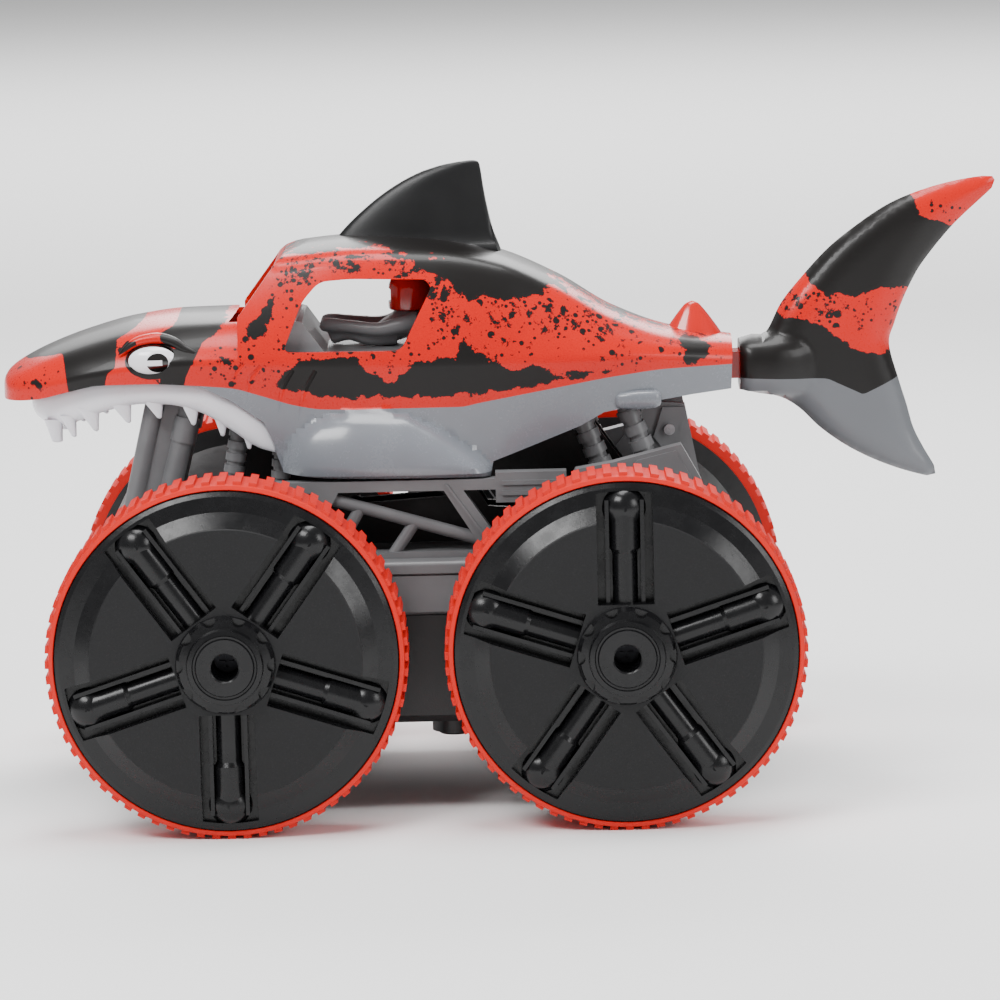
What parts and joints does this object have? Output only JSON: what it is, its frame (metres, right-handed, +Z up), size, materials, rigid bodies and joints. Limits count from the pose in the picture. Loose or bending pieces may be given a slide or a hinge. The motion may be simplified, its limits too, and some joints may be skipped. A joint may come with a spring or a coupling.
{
  "type": "radio-controlled stunt car",
  "caption": "Skid-steered radio-controlled stunt car with a shark body shell, swinging tail fin and large lugged float wheels.",
  "frame": {"origin": "on the ground under the middle of the overall box", "axes": "+X from nose to tail, +Y to the car's right, +Z up"},
  "size_m": [0.314, 0.192, 0.198],
  "materials": {
    "tyre_red": "matt, cross-lugged",
    "wheel_black": "satin black, fine texture",
    "screw_steel": "zinc plated",
    "gear_plastic": "self-coloured",
    "hull_black": "satin",
    "frame_grey": "satin",
    "motor_can": "drawn steel can",
    "bush_plastic": "self-lubricating plastic",
    "battery_wrap": "shrink wrap",
    "board_green": "solder mask",
    "shell_red": "gloss red, printed black",
    "shell_grey": "gloss grey",
    "jaw_white": "gloss white",
    "eye_white": "gloss, printed pupil",
    "gloss_red": "gloss red",
    "fin_black": "satin black",
    "tail_paint": "satin black, red and grey"
  },
  "bodies": {
    "chassis": {"axle_bushes": "bush_plastic", "battery_door": "hull_black", "battery_pack": "battery_wrap", "body_mount": "hull_black", "circuit_board": "board_green", "cockpit_tub": "frame_grey", "deck_cover": "frame_grey", "dorsal_fin": "fin_black", "drive_motors": "motor_can", "driver": "frame_grey", "eye_left": "eye_white", "eye_right": "eye_white", "frame_screws": "screw_steel", "front_struts": "frame_grey", "front_tower": "frame_grey", "helmet": "gloss_red", "hull_tub": "hull_black", "jaw": "jaw_white", "lower_shell": "shell_grey", "rear_cone": "gloss_red", "rear_struts": "frame_grey", "rear_tower": "frame_grey", "side_frame_left": "frame_grey", "side_frame_right": "frame_grey", "tail_neck": "gloss_red", "upper_shell": "shell_red"},
    "front_left_wheel": {"front_left_tyre": "tyre_red", "front_left_wheel_disc": "wheel_black", "front_left_wheel_drum": "wheel_black", "front_left_wheel_screw": "screw_steel", "front_left_axle_gear": "gear_plastic"},
    "front_right_wheel": {"front_right_tyre": "tyre_red", "front_right_wheel_disc": "wheel_black", "front_right_wheel_drum": "wheel_black", "front_right_wheel_screw": "screw_steel", "front_right_axle_gear": "gear_plastic"},
    "rear_left_wheel": {"rear_left_tyre": "tyre_red", "rear_left_wheel_disc": "wheel_black", "rear_left_wheel_drum": "wheel_black", "rear_left_wheel_screw": "screw_steel", "rear_left_axle_gear": "gear_plastic"},
    "rear_right_wheel": {"rear_right_tyre": "tyre_red", "rear_right_wheel_disc": "wheel_black", "rear_right_wheel_drum": "wheel_black", "rear_right_wheel_screw": "screw_steel", "rear_right_axle_gear": "gear_plastic"},
    "front_left_idler": {"front_left_idler_gear": "gear_plastic"},
    "rear_left_idler": {"rear_left_idler_gear": "gear_plastic"},
    "left_compound": {"left_compound_gear": "gear_plastic"},
    "left_pinion": {"left_motor_pinion": "gear_plastic"},
    "front_right_idler": {"front_right_idler_gear": "gear_plastic"},
    "rear_right_idler": {"rear_right_idler_gear": "gear_plastic"},
    "right_compound": {"right_compound_gear": "gear_plastic"},
    "right_pinion": {"right_motor_pinion": "gear_plastic"},
    "tail": {"tail_left": "tail_paint", "tail_right": "tail_paint", "tail_pin": "screw_steel", "tail_screws": "screw_steel"},
    "button": {"power_button": "hull_black"}
  },
  "joints": [
    {"name": "front_left_wheel_spin", "type": "hinge", "parent": "chassis", "child": "front_left_wheel", "pos_m": [-0.0849, -0.06, 0.055], "axis": [0, 1, 0], "continuous": true},
    {"name": "front_right_wheel_spin", "type": "hinge", "parent": "chassis", "child": "front_right_wheel", "pos_m": [-0.0849, 0.06, 0.055], "axis": [0, 1, 0], "continuous": true},
    {"name": "rear_left_wheel_spin", "type": "hinge", "parent": "chassis", "child": "rear_left_wheel", "pos_m": [0.0361, -0.06, 0.055], "axis": [0, 1, 0], "continuous": true},
    {"name": "rear_right_wheel_spin", "type": "hinge", "parent": "chassis", "child": "rear_right_wheel", "pos_m": [0.0361, 0.06, 0.055], "axis": [0, 1, 0], "continuous": true},
    {"name": "front_left_idler_spin", "type": "hinge", "parent": "chassis", "child": "front_left_idler", "pos_m": [-0.0499, -0.038, 0.055], "axis": [0, 1, 0], "continuous": true},
    {"name": "rear_left_idler_spin", "type": "hinge", "parent": "chassis", "child": "rear_left_idler", "pos_m": [0.0011, -0.038, 0.055], "axis": [0, 1, 0], "continuous": true},
    {"name": "left_compound_spin", "type": "hinge", "parent": "chassis", "child": "left_compound", "pos_m": [-0.0244, -0.038, 0.055], "axis": [0, 1, 0], "continuous": true},
    {"name": "left_pinion_spin", "type": "hinge", "parent": "chassis", "child": "left_pinion", "pos_m": [-0.0244, -0.042, 0.04], "axis": [0, 1, 0], "continuous": true},
    {"name": "front_right_idler_spin", "type": "hinge", "parent": "chassis", "child": "front_right_idler", "pos_m": [-0.0499, 0.038, 0.055], "axis": [0, 1, 0], "continuous": true},
    {"name": "rear_right_idler_spin", "type": "hinge", "parent": "chassis", "child": "rear_right_idler", "pos_m": [0.0011, 0.038, 0.055], "axis": [0, 1, 0], "continuous": true},
    {"name": "right_compound_spin", "type": "hinge", "parent": "chassis", "child": "right_compound", "pos_m": [-0.0244, 0.038, 0.055], "axis": [0, 1, 0], "continuous": true},
    {"name": "right_pinion_spin", "type": "hinge", "parent": "chassis", "child": "right_pinion", "pos_m": [-0.0244, 0.042, 0.04], "axis": [0, 1, 0], "continuous": true},
    {"name": "tail_swing", "type": "hinge", "parent": "chassis", "child": "tail", "pos_m": [0.0786, 0, 0.131], "axis": [0, 0, 1], "range_deg": [-12, 12]},
    {"name": "button_press", "type": "slide", "parent": "chassis", "child": "button", "axis": [0, 0, 1], "range_m": [0, 0.0012], "stiffness_N_per_m": 300, "springref_m": -0.0006}
  ],
  "couplings": [
    {"joint": "front_left_wheel_spin", "follows": "rear_left_wheel_spin", "ratio": 1},
    {"joint": "front_left_idler_spin", "follows": "rear_left_wheel_spin", "ratio": -0.94444},
    {"joint": "rear_left_idler_spin", "follows": "rear_left_wheel_spin", "ratio": -0.94444},
    {"joint": "left_compound_spin", "follows": "rear_left_wheel_spin", "ratio": 2.2667},
    {"joint": "left_pinion_spin", "follows": "rear_left_wheel_spin", "ratio": -9.0667},
    {"joint": "front_right_wheel_spin", "follows": "rear_right_wheel_spin", "ratio": 1},
    {"joint": "front_right_idler_spin", "follows": "rear_right_wheel_spin", "ratio": -0.94444},
    {"joint": "rear_right_idler_spin", "follows": "rear_right_wheel_spin", "ratio": -0.94444},
    {"joint": "right_compound_spin", "follows": "rear_right_wheel_spin", "ratio": 2.2667},
    {"joint": "right_pinion_spin", "follows": "rear_right_wheel_spin", "ratio": -9.0667}
  ]
}
